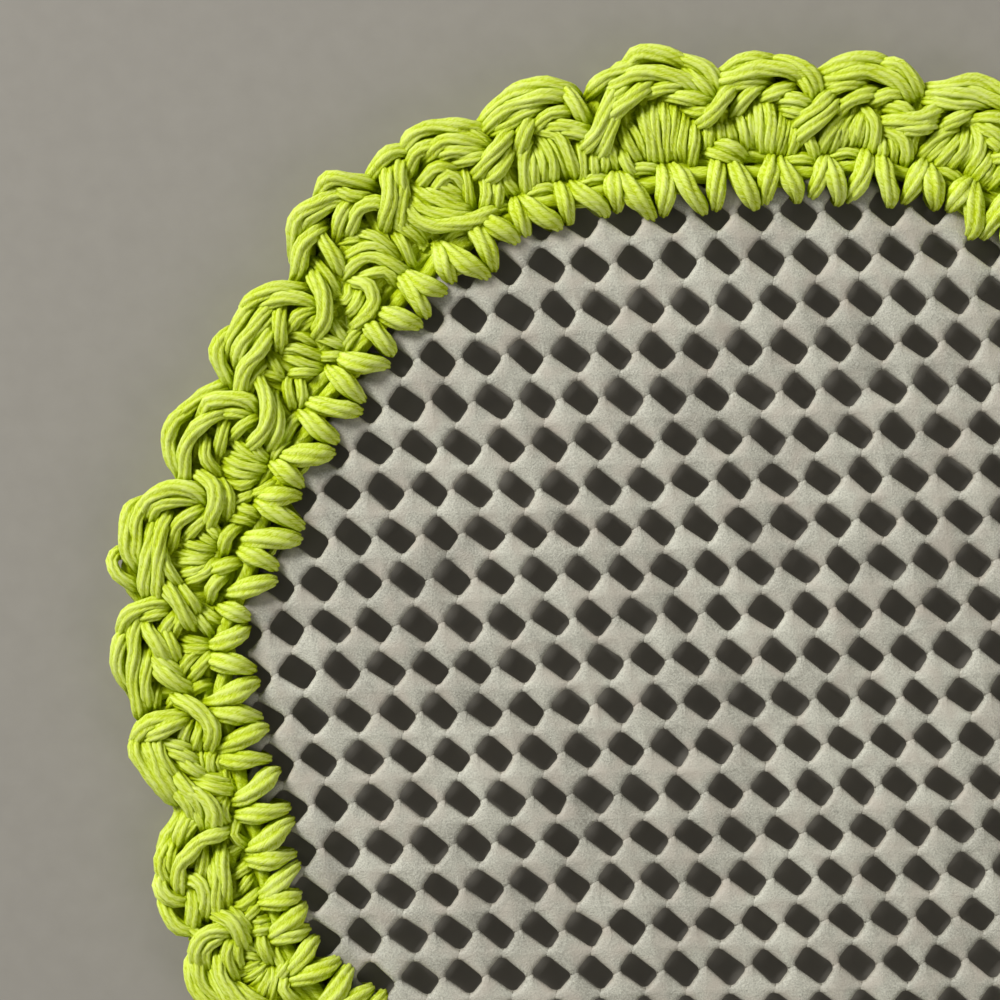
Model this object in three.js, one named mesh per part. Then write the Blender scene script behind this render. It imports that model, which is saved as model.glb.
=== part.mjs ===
// Jar gripper: a round of foam-coated net with a crocheted cotton edging.
// Millimetres, +Z up. The origin is the middle of the gripper's box, on the
// surface that it lies on.

import * as THREE from 'three';
import { ParametricGeometry } from 'three/addons/geometries/ParametricGeometry.js';
import { mergeVertices } from 'three/addons/utils/BufferGeometryUtils.js';

// Hand-cut outline: how far the inner tips of the crochet lie from the middle
const OUTLINE = [
	{ angle: 0, radius: 66.6 },
	{ angle: 15, radius: 66.0 },
	{ angle: 30, radius: 66.9 },
	{ angle: 45, radius: 65.8 },
	{ angle: 60, radius: 66.6 },
	{ angle: 75, radius: 66.2 },
	{ angle: 90, radius: 63.9 },
	{ angle: 105, radius: 64.4 },
	{ angle: 120, radius: 66.8 },
	{ angle: 135, radius: 65.9 },
	{ angle: 150, radius: 65.2 },
	{ angle: 165, radius: 65.8 },
	{ angle: 180, radius: 67.8 },
	{ angle: 195, radius: 65.4 },
	{ angle: 210, radius: 67.6 },
	{ angle: 225, radius: 65.6 },
	{ angle: 240, radius: 66.4 },
	{ angle: 255, radius: 65.8 },
	{ angle: 270, radius: 66.5 },
	{ angle: 285, radius: 66.0 },
	{ angle: 300, radius: 67.0 },
	{ angle: 315, radius: 65.6 },
	{ angle: 330, radius: 66.4 },
	{ angle: 345, radius: 65.9 },
];

// Net: bumps of foam that meet at their corners, with slanted holes between
const NET_THICKNESS = 2.0;
const NET_ROW = { x: 5.84, y: 0.2 }; // from one bump to the next along a row
const NET_COLUMN = { x: 1.49, y: - 5.87 }; // and from one row to the next
const NET_COARSENESS = 1.4; // the holes are cut at this many times the pitch
const HOLE_LENGTH = 0.83; // as shares of the slanted sides of a cell
const HOLE_WIDTH = 0.64;
const NET_LIFT = 2.2; // the stitches under the net's rim hold it this high
const NET_RIM_REACH = 3.2; // the net's cut edge, outwards from the crochet's tips
const HOLES_REACH = 0.6; // past this the stitches squeeze the holes shut

// Edging: a round of upright stitches with a round of scallops outside it
const SCALLOPS = 34;
const FIRST_VALLEY = 75.7; // degrees, the dip between two scallops
const STITCHES_PER_SCALLOP = 2;
const LINKS_PER_SCALLOP = 3; // chain stitches along a scallop's rim
const STATIONS_PER_SCALLOP = 8;
const NOTCH_DEPTH = 2.4; // between the tips of neighbouring stitches
const SCALLOP_SWING = 4.2; // from the dips to the crests
const SCALLOP_FULLNESS = 0.6; // below 1 a scallop is fuller than a sine
const NET_CLEARANCE = 0.3;
const SLOT_DEPTH = NET_RIM_REACH + 0.4;
const SLOT_FLOOR = NET_LIFT - NET_CLEARANCE;
const SLOT_CEILING = NET_LIFT + NET_THICKNESS + NET_CLEARANCE;

// The edging's section, once round it from the slot that holds the net.
// reach: outwards from the tips; height: above the surface; notch and swing:
// how far the point follows the stitches' notches and the scallops' swing;
// stitch, puff and link: how much those stitches raise the point.
const SECTION = [
	{ at: 'slot floor', reach: SLOT_DEPTH, height: SLOT_FLOOR },
	{ at: 'back lip', reach: 0.3, height: SLOT_FLOOR, notch: 1 },
	{ at: 'inner foot', reach: 1.2, height: 0, notch: 1 },
	{ at: 'outer foot', reach: 15.6, height: 0, swing: 0.8 },
	{ at: 'outer edge', reach: 17.2, height: 3.3, swing: 1 },
	{ at: 'rim shoulder', reach: 16.3, height: 5.7, swing: 1, link: 0.5 },
	{ at: 'rim crest', reach: 14.3, height: 6.3, swing: 0.8, link: 0.9 },
	{ at: 'rim foot', reach: 12.0, height: 5.1, swing: 0.4, puff: 0.3 },
	{ at: 'puff crest', reach: 9.9, height: 5.4, swing: 0.2, puff: 1.6 },
	{ at: 'puff foot', reach: 7.4, height: 5.2, puff: 1.2 },
	{ at: 'groove', reach: 6.0, height: 4.8 },
	{ at: 'stitch head', reach: 4.5, height: 5.9, stitch: 0.7 },
	{ at: 'stitch leg', reach: 1.3, height: 5.7, notch: 1, stitch: 0.7 },
	{ at: 'front lip', reach: 0, height: SLOT_CEILING, notch: 1 },
	{ at: 'slot ceiling', reach: SLOT_DEPTH, height: SLOT_CEILING },
];

const FULL_TURN = 2 * Math.PI;
const STATIONS = SCALLOPS * STATIONS_PER_SCALLOP;
const MIDDLE_OF_BOX = { x: - 0.57, y: - 1.12 }; // from the outline's own middle

const cotton = new THREE.MeshStandardMaterial( {
	name: 'lime_cotton',
	color: 0xbfd62f,
	roughness: 0.9,
	metalness: 0,
} );
const foam = new THREE.MeshStandardMaterial( {
	name: 'taupe_foam',
	color: 0xaea494,
	roughness: 0.8,
	metalness: 0,
} );

// A smooth value between the middle two of four neighbours
function between( before, start, end, after, share ) {

	const inSlope = ( end - before ) / 2;
	const outSlope = ( after - start ) / 2;
	const cubic = 2 * start - 2 * end + inSlope + outSlope;
	const square = - 3 * start + 3 * end - 2 * inSlope - outSlope;
	return ( ( cubic * share + square ) * share + inSlope ) * share + start;

}

function outlineRadius( angle ) {

	const rows = OUTLINE.length;
	const place = THREE.MathUtils.euclideanModulo( angle / FULL_TURN, 1 ) * rows;
	const row = Math.floor( place );
	const radius = ( step ) => OUTLINE[ ( row + step + rows ) % rows ].radius;
	return between( radius( - 1 ), radius( 0 ), radius( 1 ), radius( 2 ), place - row );

}

function outlinePoint( angle, reach ) {

	const distance = outlineRadius( angle ) + reach;
	return new THREE.Vector2( distance * Math.cos( angle ), distance * Math.sin( angle ) );

}

function stationAngle( station ) {

	return THREE.MathUtils.degToRad( FIRST_VALLEY ) + FULL_TURN * station / STATIONS;

}

// Where one point of the section lies at one station around the edging
function edgingPoint( station, row, target ) {

	const { reach, height, notch = 0, swing = 0, stitch = 0, puff = 0, link = 0 } = row;
	const alongScallop = ( station / STATIONS_PER_SCALLOP ) % 1;
	const alongStitch = ( alongScallop * STITCHES_PER_SCALLOP ) % 1;
	const crest = Math.sin( Math.PI * alongScallop ) ** SCALLOP_FULLNESS;
	const tip = ( 1 - Math.cos( FULL_TURN * alongStitch ) ) / 2;
	const rise = Math.abs( Math.sin( LINKS_PER_SCALLOP * Math.PI * alongScallop ) );

	const outwards = reach + notch * NOTCH_DEPTH * ( 1 - tip ) + swing * SCALLOP_SWING * crest;
	const place = outlinePoint( stationAngle( station ), outwards );
	target.set( place.x, place.y, height + stitch * tip + puff * crest + link * rise );

}

function edgingGeometry() {

	const surface = ( round, along, target ) => {

		const station = Math.round( round * STATIONS ) % STATIONS;
		const row = SECTION[ Math.round( along * SECTION.length ) % SECTION.length ];
		edgingPoint( station, row, target );

	};

	return closed( new ParametricGeometry( surface, STATIONS, SECTION.length ) );

}

// The same geometry with shared corners, so that it is one closed body
function closed( geometry ) {

	geometry.deleteAttribute( 'normal' );
	geometry.deleteAttribute( 'uv' );
	return mergeVertices( geometry );

}

// The slanted sides of a cell. Bumps and holes alternate along both.
const CELL_LENGTH = new THREE.Vector2( NET_ROW.x + NET_COLUMN.x, NET_ROW.y + NET_COLUMN.y )
	.multiplyScalar( NET_COARSENESS / 2 );
const CELL_WIDTH = new THREE.Vector2( NET_ROW.x - NET_COLUMN.x, NET_ROW.y - NET_COLUMN.y )
	.multiplyScalar( NET_COARSENESS / 2 );

// A place on the net, in cells along each side
function netPlace( lengths, widths ) {

	return CELL_LENGTH.clone().multiplyScalar( lengths ).addScaledVector( CELL_WIDTH, widths );

}

function holeCorners( lengths, widths ) {

	const halfLength = HOLE_LENGTH / 2;
	const halfWidth = HOLE_WIDTH / 2;
	return [
		netPlace( lengths - halfLength, widths - halfWidth ),
		netPlace( lengths - halfLength, widths + halfWidth ),
		netPlace( lengths + halfLength, widths + halfWidth ),
		netPlace( lengths + halfLength, widths - halfWidth ),
	];

}

function isOpen( corner ) {

	return corner.length() < outlineRadius( corner.angle() ) + HOLES_REACH;

}

function netHoles() {

	const widest = Math.max( ...OUTLINE.map( ( row ) => row.radius ) );
	const cells = Math.ceil( 2 * widest / CELL_WIDTH.length() );
	const holes = [];

	for ( let lengths = - cells; lengths <= cells; lengths ++ ) {

		for ( let widths = - cells; widths <= cells; widths ++ ) {

			const isBump = ( lengths + widths ) % 2 === 0;
			const corners = holeCorners( lengths, widths );
			if ( ! isBump && corners.every( isOpen ) ) holes.push( new THREE.Path( corners ) );

		}

	}

	return holes;

}

function netGeometry() {

	const rim = [];
	for ( let station = 0; station < STATIONS; station += STATIONS_PER_SCALLOP / 2 ) {

		rim.push( outlinePoint( stationAngle( station ), NET_RIM_REACH ) );

	}

	const shape = new THREE.Shape( rim );
	shape.holes = netHoles();
	const geometry = new THREE.ExtrudeGeometry( shape, { depth: NET_THICKNESS, bevelEnabled: false } );
	geometry.translate( 0, 0, NET_LIFT );
	return closed( geometry );

}

function named( name, geometry, material ) {

	const mesh = new THREE.Mesh( geometry, material );
	mesh.name = name;
	return mesh;

}

const gripper = new THREE.Group();
gripper.add( named( 'grip_net', netGeometry(), foam ) );
gripper.add( named( 'crochet_edging', edgingGeometry(), cotton ) );
gripper.position.set( - MIDDLE_OF_BOX.x, - MIDDLE_OF_BOX.y, 0 );

export default gripper;
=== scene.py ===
import math
import random

import bmesh
import bpy
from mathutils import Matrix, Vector


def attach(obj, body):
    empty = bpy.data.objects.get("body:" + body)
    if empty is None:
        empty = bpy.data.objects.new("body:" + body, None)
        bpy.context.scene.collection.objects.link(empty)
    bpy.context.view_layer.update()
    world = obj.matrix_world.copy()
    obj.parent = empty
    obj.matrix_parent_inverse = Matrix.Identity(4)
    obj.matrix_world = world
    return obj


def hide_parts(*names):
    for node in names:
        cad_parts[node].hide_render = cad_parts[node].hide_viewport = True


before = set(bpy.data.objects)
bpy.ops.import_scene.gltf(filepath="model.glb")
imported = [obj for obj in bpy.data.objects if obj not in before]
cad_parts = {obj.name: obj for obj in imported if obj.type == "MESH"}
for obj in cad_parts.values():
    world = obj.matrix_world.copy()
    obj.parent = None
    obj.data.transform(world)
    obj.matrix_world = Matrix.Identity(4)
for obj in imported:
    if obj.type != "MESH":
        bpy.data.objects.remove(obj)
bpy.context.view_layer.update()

MM = 0.001
FULL_TURN = 2 * math.pi
CHANCE = random.Random(7)

# The outline's own middle, from the frame's origin
MIDDLE = (0.57, 1.12)

# How far the smooth outline through the stitches' tips lies from the middle,
# every 15 degrees from +X
OUTLINE = (
    66.6, 66.0, 66.9, 65.8, 66.6, 66.2, 63.9, 64.4, 66.8, 65.9, 65.2, 65.8,
    67.8, 65.4, 67.6, 65.6, 66.4, 65.8, 66.5, 66.0, 67.0, 65.6, 66.4, 65.9,
)

# The upright stitches whose tips are seen: degrees from +X and distance
SEEN_TIPS = (
    (65.0, 66.0), (69.8, 67.6), (74.6, 66.5), (80.7, 65.3), (85.3, 64.8),
    (90.9, 63.9), (96.7, 63.7), (102.6, 64.2), (108.0, 66.0), (113.7, 66.4),
    (118.5, 67.7), (123.5, 65.5), (128.2, 67.7), (133.0, 66.1), (138.8, 65.7),
    (145.2, 65.2), (151.0, 65.4), (157.0, 67.0), (161.5, 64.6), (167.2, 66.5),
    (172.8, 69.1), (178.8, 67.5), (184.0, 66.7), (189.2, 65.9), (195.2, 65.1),
    (200.5, 66.1), (204.8, 67.1), (208.8, 68.0), (213.5, 66.4), (218.2, 64.9),
)
STITCHES = 68

# The scallops that are seen: degrees of the dip before the crest and of the
# crest, and the crest's distance
SEEN_SCALLOPS = (
    (64.6, 70.3, 86.8), (75.2, 79.8, 86.3), (85.5, 90.2, 85.3), (95.5, 101, 87.9),
    (106.2, 112.4, 87.5), (117.2, 122.2, 88.9), (127.8, 132, 90.1), (139, 145.9, 87.4),
    (150.5, 156.4, 87.5), (160.8, 167.8, 89.6), (172, 177, 87.3), (183, 187, 85.1),
    (192, 198.4, 86), (204.5, 209, 86.5), (215, 220.2, 86.9),
)
SCALLOPS = 34


def jitter(amount):
    return CHANCE.uniform(-amount, amount)


def outline_radius(angle):
    """Distance of the smooth outline from the middle, angle in radians"""
    rows = len(OUTLINE)
    place = (angle / FULL_TURN) % 1 * rows
    row = int(place)
    share = place - row
    before, start, end, after = (OUTLINE[(row + step) % rows] for step in (-1, 0, 1, 2))
    in_slope = (end - before) / 2
    out_slope = (after - start) / 2
    cubic = 2 * start - 2 * end + in_slope + out_slope
    square = -3 * start + 3 * end - 2 * in_slope - out_slope
    return ((cubic * share + square) * share + in_slope) * share + start


def spot(angle, reach, height):
    """Point at an angle in radians, so far outwards from the smooth outline"""
    distance = outline_radius(angle) + reach
    return Vector((MIDDLE[0] + distance * math.cos(angle),
                   MIDDLE[1] + distance * math.sin(angle), height))


def new_object(name, data):
    made = bpy.data.objects.new(name, data)
    bpy.context.scene.collection.objects.link(made)
    return made


# Nodes

class Wire:
    """An output of a node. Arithmetic on it adds Math nodes to its tree."""

    def __init__(self, nodes, socket):
        self.nodes = nodes
        self.socket = socket

    def math(self, operation, *values):
        return self.nodes.add("ShaderNodeMath", {"operation": operation}, dict(enumerate(values)))

    def __add__(self, other):
        return self.math("ADD", self, other)

    def __radd__(self, other):
        return self.math("ADD", other, self)

    def __sub__(self, other):
        return self.math("SUBTRACT", self, other)

    def __rsub__(self, other):
        return self.math("SUBTRACT", other, self)

    def __mul__(self, other):
        return self.math("MULTIPLY", self, other)

    def __rmul__(self, other):
        return self.math("MULTIPLY", other, self)

    def __truediv__(self, other):
        return self.math("DIVIDE", self, other)

    def __rtruediv__(self, other):
        return self.math("DIVIDE", other, self)


class Nodes:
    """A node tree that is written as calls. Every node comes from node()."""

    def __init__(self, tree):
        self.tree = tree
        tree.nodes.clear()

    def node(self, kind, settings=None, sockets=None):
        made = self.tree.nodes.new(kind)
        for name, value in (settings or {}).items():
            if name == "captured":
                made.capture_items.new(*value)
            else:
                setattr(made, name, value)
        for name, value in (sockets or {}).items():
            if isinstance(value, Wire):
                self.tree.links.new(value.socket, made.inputs[name])
            else:
                made.inputs[name].default_value = value
        return made

    def add(self, kind, settings=None, sockets=None, out=0):
        return self.out(self.node(kind, settings, sockets), out)

    def out(self, node, name=0):
        return Wire(self, node.outputs[name])

    def noise(self, place, scale, detail, roughness=0.5, out=0):
        return self.add("ShaderNodeTexNoise", None, {
            "Vector": place, "Scale": scale, "Detail": detail, "Roughness": roughness}, out)

    def mixed(self, factor, first, second):
        return self.add("ShaderNodeMix", {"data_type": "RGBA"},
                        {"Factor": factor, 6: first, 7: second}, out=2)

    def vector(self, operation, first, second):
        """Vector Math on two vectors, or on a vector and what scales it"""
        return self.add("ShaderNodeVectorMath", {"operation": operation},
                        {0: first, "Scale" if operation == "SCALE" else 1: second})


def geometry_tree(name, inputs):
    """A geometry tree with a geometry in, a geometry out and named inputs, and
    a function that gives the wire of one of them"""
    tree = bpy.data.node_groups.new(name, "GeometryNodeTree")
    for label, kind in {"Geometry": "Geometry", **inputs}.items():
        tree.interface.new_socket(label, in_out="INPUT", socket_type="NodeSocket" + kind)
    tree.interface.new_socket("Geometry", in_out="OUTPUT", socket_type="NodeSocketGeometry")
    nodes = Nodes(tree)
    group = nodes.node("NodeGroupInput")
    return nodes, lambda label: nodes.out(group, label)


def end_tree(nodes, geometry, material):
    smooth = nodes.add("GeometryNodeSetShadeSmooth", None, {"Geometry": geometry})
    whole = nodes.add("GeometryNodeRealizeInstances", None, {"Geometry": smooth})
    dressed = nodes.add("GeometryNodeSetMaterial", None, {"Geometry": whole, "Material": material})
    nodes.node("NodeGroupOutput", None, {"Geometry": dressed})
    return nodes


def drift(nodes, place, scale, detail, amount, stretch=(1, 1, 1)):
    """An uneven shift to all sides, up to about half the amount, from a noise"""
    noise = nodes.noise(place, scale, detail, out="Color")
    centred = nodes.vector("SUBTRACT", noise, (0.5, 0.5, 0.5))
    return nodes.vector("SCALE", nodes.vector("MULTIPLY", centred, stretch), amount)


def grow(name, source, nodes, values):
    """Runs a geometry tree on an object and keeps a plain mesh of it"""
    modifier = source.modifiers.new("grow", "NODES")
    modifier.node_group = nodes.tree
    for item in nodes.tree.interface.items_tree:
        if item.in_out == "INPUT" and item.name in values:
            modifier[item.identifier] = values[item.name]
    evaluated = source.evaluated_get(bpy.context.evaluated_depsgraph_get())
    mesh = bpy.data.meshes.new_from_object(evaluated)
    mesh.name = name
    source.modifiers.remove(modifier)
    bpy.data.objects.remove(source)
    return new_object(name, mesh)


# Yarn

PLIES = 6
YARN_RADIUS = 1.32
# How deep the groove beside each ply is
PLY_GROOVES = (0.44, 0.28, 0.38, 0.26, 0.44, 0.3)
CORE_GROOVES = (0.35,) * PLIES
# Length of yarn in one full turn of its plies, and how far strands stray
YARN_TURN = 36.0
YARN_WANDER = 0.55


def yarn_section(name, levels, grooves):
    """The outline of plies that lie side by side, as a closed curve. levels is how
    far each point of a ply stands out of its groove, from 0 to 1."""
    curve = bpy.data.curves.new(name, "CURVE")
    spline = curve.splines.new("POLY")
    count = PLIES * len(levels)
    spline.points.add(count - 1)
    spline.use_cyclic_u = True
    for step, point in enumerate(spline.points):
        ply, part = divmod(step, len(levels))
        depth = grooves[ply] if part else (grooves[ply] + grooves[ply - 1]) / 2
        radius = YARN_RADIUS - depth * (1 - levels[part])
        angle = FULL_TURN * step / count
        point.co = (radius * math.cos(angle) * MM, radius * math.sin(angle) * MM, 0, 1)
    return new_object(name, curve)


def yarn_tree():
    """Sweeps the yarn's section along each strand, turning as it goes. It keeps
    where each point lies in the section and along the strand as "lay"."""
    nodes, given = geometry_tree("spin_yarn", {
        "Section": "Object", "Step": "Float", "Turn": "Float", "Wander": "Float",
        "Yarn": "Material"})
    strands = nodes.add("GeometryNodeCurveSplineType", {"spline_type": "CATMULL_ROM"},
                        {"Curve": given("Geometry")})
    stepped = nodes.add("GeometryNodeResampleCurve", {"mode": "LENGTH"},
                        {"Curve": strands, "Length": given("Step")})
    place = nodes.add("GeometryNodeInputPosition")
    shift = drift(nodes, place, 150.0, 1.0, given("Wander"), (3.0, 3.0, 1.2))
    moved = nodes.add("GeometryNodeSetPosition", None, {"Geometry": stepped, "Offset": shift})
    girth = nodes.add("GeometryNodeInputRadius") * (nodes.noise(place, 420.0, 0.0) * 0.5 + 0.75)
    sized = nodes.add("GeometryNodeSetCurveRadius", None, {"Curve": moved, "Radius": girth})
    along = nodes.add("GeometryNodeSplineParameter", out="Length")
    turned = nodes.add("GeometryNodeInputCurveTilt") + along / given("Turn") * FULL_TURN
    tilted = nodes.add("GeometryNodeSetCurveTilt", None, {"Curve": sized, "Tilt": turned})
    strand = nodes.node("GeometryNodeCaptureAttribute", {"captured": ("FLOAT", "along")},
                        {"Geometry": tilted, "along": along})
    section = nodes.add("GeometryNodeObjectInfo", None, {"Object": given("Section")}, out="Geometry")
    profile = nodes.node("GeometryNodeCaptureAttribute", {"captured": ("VECTOR", "place")},
                         {"Geometry": section, "place": nodes.add("GeometryNodeInputPosition")})
    swept = nodes.add("GeometryNodeCurveToMesh", None, {
        "Curve": nodes.out(strand), "Profile Curve": nodes.out(profile),
        "Scale": nodes.add("GeometryNodeInputRadius"), "Fill Caps": True})
    apart = nodes.node("ShaderNodeSeparateXYZ", None, {0: nodes.out(profile, "place")})
    lay = nodes.add("ShaderNodeCombineXYZ", None, {
        "X": nodes.out(apart, "X") / MM, "Y": nodes.out(apart, "Y") / MM,
        "Z": nodes.out(strand, "along") / MM})
    stored = nodes.add("GeometryNodeStoreNamedAttribute",
                       {"data_type": "FLOAT_VECTOR", "domain": "POINT"},
                       {"Geometry": swept, "Name": "lay", "Value": lay})
    return end_tree(nodes, stored, given("Yarn"))


class Skein:
    """Strands of yarn that become one piece, with a ring of points every step"""

    def __init__(self, name, section, step):
        self.name = name
        self.section = section
        self.step = step
        self.strands = []

    def lay(self, places, girths):
        self.strands.append(list(zip(places, girths)))

    def piece(self, tree, yarn):
        path = bpy.data.curves.new(self.name + "_path", "CURVE")
        path.dimensions = "3D"
        for strand in self.strands:
            spline = path.splines.new("POLY")
            spline.points.add(len(strand) - 1)
            start = CHANCE.uniform(0, FULL_TURN)
            for point, (place, girth) in zip(spline.points, strand):
                point.co = (*(place * MM), 1)
                point.radius = girth
                point.tilt = start
        return grow(self.name, new_object(path.name, path), tree, {
            "Section": self.section, "Step": self.step * MM, "Turn": YARN_TURN * MM,
            "Wander": YARN_WANDER * MM, "Yarn": yarn})


# Upright stitches

# A stitch seen with outwards up: millimetres clockwise from its tip and outwards
# from it, height, and girth of the yarn
LEFT_LEG = (
    (-1.04, 7.3, 2.6, 0.6), (-1, 6.3, 4.5, 0.74), (-0.85, 4.8, 5.7, 1.08), (-0.6, 3.1, 5.9, 1.14),
    (-0.36, 1.7, 5.3, 0.98), (-0.25, 0.75, 4.1, 0.66), (-0.25, 0.9, 2.6, 0.62), (-0.4, 2.6, 1.5, 1),
    (-0.7, 4.6, 1.4, 1), (-0.95, 6.6, 2.1, 0.8),
)
RIGHT_LEG = (
    (1.04, 7.5, 2.6, 0.6), (1, 6.5, 4.5, 0.74), (0.93, 5, 5.65, 1.08), (0.8, 3.4, 5.8, 1.1),
    (0.66, 2.1, 5.2, 0.9), (0.56, 1.15, 4.1, 0.62), (0.58, 1.3, 2.7, 0.6), (0.8, 2.8, 1.5, 0.95),
    (1.3, 4.8, 1.4, 1), (1.7, 6.8, 2.1, 0.8),
)
# Strands that some stitches have, over the legs' outer ends and across to the
# stitch before. These lie outwards from SEAM_REACH and BAR_REACH.
SEAM = (
    (-3.4, -0.9, 2.6, 0.7), (-2.6, -0.4, 4, 0.7), (-1.2, 0, 4.6, 0.74), (0.4, -0.2, 4.5, 0.7),
    (1.6, -1, 3.4, 0.7),
)
BAR = ((-4.9, 0.6, 3.9, 0.34), (-4, 0, 4.75, 0.36), (-3, -0.2, 4.8, 0.36), (-2, 0, 3.9, 0.34))
SEAM_REACH = 7.0
BAR_REACH = 3.2
SEAMS_SHARE = 0.4
BARS_SHARE = 0.6
USUAL_PITCH = 6.1
# Where stitches lean most, and how far outwards an uneven tip still shows
MOST_SKEWED = math.radians(100)
TIP_FADE = 6


def stitch_tips():
    """Every upright stitch's angle in radians and the reach of its tip"""
    first, last = SEEN_TIPS[0][0] + 360, SEEN_TIPS[-1][0]
    hidden = STITCHES - len(SEEN_TIPS)
    tips = [(math.radians(angle), distance) for angle, distance in SEEN_TIPS]
    for step in range(1, hidden + 1):
        angle = math.radians(last + (first - last) * step / (hidden + 1))
        tips.append((angle + jitter(0.008), outline_radius(angle) + jitter(0.9)))
    return [(angle, distance - outline_radius(angle)) for angle, distance in tips]


def upright_stitch(skein, angle, tip, pitch):
    """Two legs that open outwards from a hole of the net and close under it, and
    the strands beside them. pitch is the stitch's angle to the next."""
    radius = outline_radius(angle)
    wide = 0.5 + 0.5 * pitch * radius / USUAL_PITCH
    skew = 0.6 + 0.4 * math.cos(angle - MOST_SKEWED) + jitter(0.2)
    bulk = 1 + jitter(0.06)

    def strand(rows, spread, outwards=0.0):
        places = []
        for along, reach, height, _ in rows:
            reach += outwards
            shift = tip * max(0.0, 1 - reach / TIP_FADE)
            places.append(spot(angle - along * spread / radius, reach + shift, height))
        skein.lay(places, [girth * bulk for *_, girth in rows])

    strand(LEFT_LEG, wide * (2.3 + 1.0 * skew))
    strand(RIGHT_LEG, 2.2 - 0.6 * skew)
    seam = SEAM_REACH + jitter(0.5)
    if CHANCE.random() < SEAMS_SHARE:
        strand(SEAM, 1 + jitter(0.2), seam)
    if CHANCE.random() < BARS_SHARE:
        strand(BAR, wide, BAR_REACH + jitter(0.4))


# Scallops

# Foot of a scallop's posts, outwards from the tips, and its crest as the tables
# below have it. Scallops are stretched to fit from one to the other.
FOOT_REACH = 6.0
USUAL_CREST = 21.0
MIDDLE_RADIUS = 76.0


def scallop_frames():
    """Every scallop's first and last dip, crest angle and crest reach"""
    rows = [(math.radians(dip), math.radians(crest), distance)
            for dip, crest, distance in SEEN_SCALLOPS]
    first, last = rows[0][0] + FULL_TURN, rows[-1][0]
    hidden = SCALLOPS - len(rows)
    pitch = (first - last) / (hidden + 1)
    for step in range(1, hidden + 1):
        dip = last + pitch * step + jitter(0.01)
        crest = last + pitch * (step + 0.5) + jitter(0.015)
        # A number is passed over, so that those that follow stay the same
        CHANCE.random()
        rows.append((dip, crest, outline_radius(crest) + USUAL_CREST + jitter(0.9)))
    next_dips = [dip for dip, *_ in rows[1:]] + [first]
    return [(dip, next_dip, crest, distance - outline_radius(crest))
            for (dip, crest, distance), next_dip in zip(rows, next_dips)]


def scallop_spot(row, along, reach, height):
    """A place on a scallop, seen with outwards up: millimetres clockwise from its
    middle and outwards from the stitches' tips"""
    first, last, crest, crest_reach = row
    middle = (first + last) / 2
    stretch = (last - first) * SCALLOPS / FULL_TURN
    outer = max(0.0, reach - FOOT_REACH)
    taller = (crest_reach - FOOT_REACH) / (USUAL_CREST - FOOT_REACH)
    lean = (crest - middle) * outer / (USUAL_CREST - FOOT_REACH)
    angle = middle - along * stretch / MIDDLE_RADIUS + lean
    return spot(angle, reach + outer * (taller - 1), height)


# How scallops lie, seen with outwards up. Each row is one strand as it shows:
# how high it lies, its girth, and its places clockwise and outwards.
CRESTED = {"rim": (
    (5.7, 1.04, (-6.4, 17.6), (-4.4, 18.9), (-1.6, 19.6), (0.6, 19.4)),
    (6, 1.04, (0.4, 18.8), (2.6, 18.9), (4.6, 17.7), (6, 16.2)),
    (6.2, 1.04, (-6.2, 16.9), (-3.6, 17.2), (-1.8, 17.9), (0.6, 17.7), (3, 16.8), (5, 15.4)),
    (6, 0.94, (-5.2, 15.7), (-3.6, 16), (-1.8, 16.5)),
    (6, 0.96, (-3.4, 12.8), (-1.6, 14.2), (0.2, 15.4)),
    (6.1, 0.9, (0.8, 14.3), (2.4, 15.3), (3.8, 15.6)),
    (6.2, 0.92, (3, 13.6), (4.8, 13.2), (6.2, 12.6)),
    (6.6, 1.06, (3.2, 11.2), (5.4, 11.6), (7.4, 12.4), (9.2, 14.2)),
    (6.4, 1, (5.4, 10.2), (7.4, 10.8), (9, 12.2)),
), "fan": (
    (5.4, 0.94, (-5.4, 8), (-4.9, 9.8), (-3.4, 11.6)),
    (5.3, 0.9, (-4.1, 7.8), (-3.7, 9.6), (-2.7, 11.6)),
    (5.3, 0.9, (-2.8, 8), (-2.4, 10), (-1.8, 11.8)),
    (5.3, 0.88, (-1.4, 8.4), (-1, 10.2), (-0.6, 12.2)),
    (5.3, 0.88, (0, 8.6), (0, 10.6), (0, 12.6)),
    (5.4, 0.9, (1.4, 8.2), (1.1, 10.4), (0.5, 12.4)),
    (5.8, 0.96, (2.6, 7.4), (2.4, 9.8), (1.5, 11.8), (0, 13)),
    (5.6, 1, (3.4, 10.4), (5, 9.6), (6.6, 8.2), (7.3, 6.4)),
    (5.2, 0.9, (4.4, 8.8), (5.2, 7.8), (5.6, 6.6)),
    (5.2, 0.9, (3.2, 8.8), (3.8, 7.4), (3.6, 6.2)),
    (5.4, 0.92, (-7.6, 9.8), (-6.6, 8.4), (-6, 7)),
)}
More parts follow.
